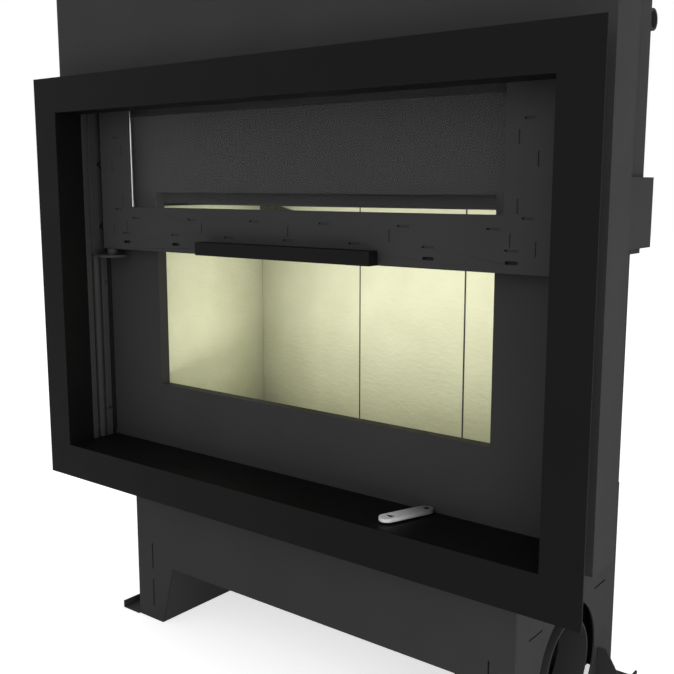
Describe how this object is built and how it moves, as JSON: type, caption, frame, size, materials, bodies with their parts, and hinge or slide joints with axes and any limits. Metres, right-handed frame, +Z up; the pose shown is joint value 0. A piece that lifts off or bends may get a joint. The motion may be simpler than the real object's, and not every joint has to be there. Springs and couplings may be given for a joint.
{
  "type": "fireplace insert",
  "caption": "Steel fireplace insert on a base with feet, black portal ring, lifting glass door with a bar handle, pale fire-board lining, air lever and side air pipe.",
  "frame": {"origin": "Centre of the footprint on the floor, under the feet", "axes": "+X to the right seen from the room, +Y into the wall, +Z up"},
  "size_m": [1.047, 0.508, 1.515],
  "materials": {
    "body_paint": "matt heat-proof paint, dark grey",
    "portal_paint": "matt heat-proof paint, black",
    "handle_paint": "fine-textured black",
    "raw_steel": "plain mill steel, satin",
    "bright_steel": "polished",
    "fire_lining": "matt pressed fire-board, pale cream",
    "fire_glass": "clear flat ceramic glass"
  },
  "bodies": {
    "firebox": {"base_front": "body_paint", "base_back": "body_paint", "base_side_left": "body_paint", "base_side_right": "body_paint", "base_arch_plate": "body_paint", "base_rib_left": "body_paint", "base_rib_right": "body_paint", "foot_front_left": "body_paint", "foot_front_right": "body_paint", "foot_rear_left": "body_paint", "foot_rear_right": "body_paint", "air_spigot": "body_paint", "firebox_shell": "body_paint", "rear_channel": "body_paint", "rear_air_manifold": "body_paint", "rear_lifting_tube": "body_paint", "flue_collar": "body_paint", "lintel_deflector": "body_paint", "housing_shell": "body_paint", "housing_top": "body_paint", "face_plate": "body_paint", "guide_rail_left": "body_paint", "guide_rail_right": "body_paint", "counterweight_channel_left": "body_paint", "counterweight_channel_right": "body_paint", "guide_shaft_left": "body_paint", "guide_shaft_right": "body_paint", "portal_frame": "portal_paint", "air_box": "raw_steel", "baffle_bracket_left": "raw_steel", "baffle_bracket_right": "raw_steel", "pulley_bracket_left": "raw_steel", "pulley_bracket_right": "raw_steel", "baffle_plate": "raw_steel", "cable_door_left": "raw_steel", "cable_door_right": "raw_steel", "cable_weight_left": "raw_steel", "cable_weight_right": "raw_steel", "cable_bend_left": "raw_steel", "cable_bend_right": "raw_steel", "lining_floor": "fire_lining", "lining_side_left": "fire_lining", "lining_side_right": "fire_lining", "lining_back_left": "fire_lining", "lining_back_right": "fire_lining", "lining_back_middle": "fire_lining"},
    "door": {"door_frame": "body_paint", "door_glass": "fire_glass", "glass_rod_left": "bright_steel", "glass_rod_right": "bright_steel", "handle_bar": "handle_paint", "carriage_left": "body_paint", "carriage_right": "body_paint", "hinge_lug_left": "body_paint"},
    "weight_left": {"counterweight_left": "raw_steel"},
    "weight_right": {"counterweight_right": "raw_steel"},
    "pulley_wheel_left": {"pulley_left": "raw_steel"},
    "pulley_wheel_right": {"pulley_right": "raw_steel"},
    "air_control_lever": {"air_lever": "bright_steel"},
    "air_control_shutter": {"air_shutter": "raw_steel"}
  },
  "joints": [
    {"name": "door_lift", "type": "slide", "parent": "firebox", "child": "door", "axis": [0, 0, 1], "range_m": [-0.335, 0.15], "deforming": ["cable_door_left", "cable_door_right"]},
    {"name": "weight_left_run", "type": "slide", "parent": "firebox", "child": "weight_left", "axis": [0, 0, 1], "range_m": [-0.15, 0.335], "deforming": ["cable_weight_left"]},
    {"name": "weight_right_run", "type": "slide", "parent": "firebox", "child": "weight_right", "axis": [0, 0, 1], "range_m": [-0.15, 0.335], "deforming": ["cable_weight_right"]},
    {"name": "pulley_left_turn", "type": "hinge", "parent": "firebox", "child": "pulley_wheel_left", "pos_m": [-0.453, -0.135, 1.472], "axis": [1, 0, 0], "range_deg": [-240, 535]},
    {"name": "pulley_right_turn", "type": "hinge", "parent": "firebox", "child": "pulley_wheel_right", "pos_m": [0.453, -0.135, 1.472], "axis": [1, 0, 0], "range_deg": [-240, 535]},
    {"name": "air_lever_turn", "type": "hinge", "parent": "firebox", "child": "air_control_lever", "pos_m": [0.2414, -0.156, 0.342], "axis": [0, 0, 1], "range_deg": [-14.5, 55.5]},
    {"name": "air_shutter_slide", "type": "slide", "parent": "firebox", "child": "air_control_shutter", "axis": [1, 0, 0], "range_m": [-0.03, 0.008]}
  ],
  "couplings": [
    {"joint": "weight_left_run", "follows": "door_lift", "ratio": -1},
    {"joint": "weight_right_run", "follows": "door_lift", "ratio": -1},
    {"joint": "pulley_left_turn", "follows": "door_lift", "rad_per_m": -27.778},
    {"joint": "pulley_right_turn", "follows": "door_lift", "rad_per_m": -27.778},
    {"joint": "air_shutter_slide", "follows": "air_lever_turn", "m_per_rad": -0.0305}
  ]
}
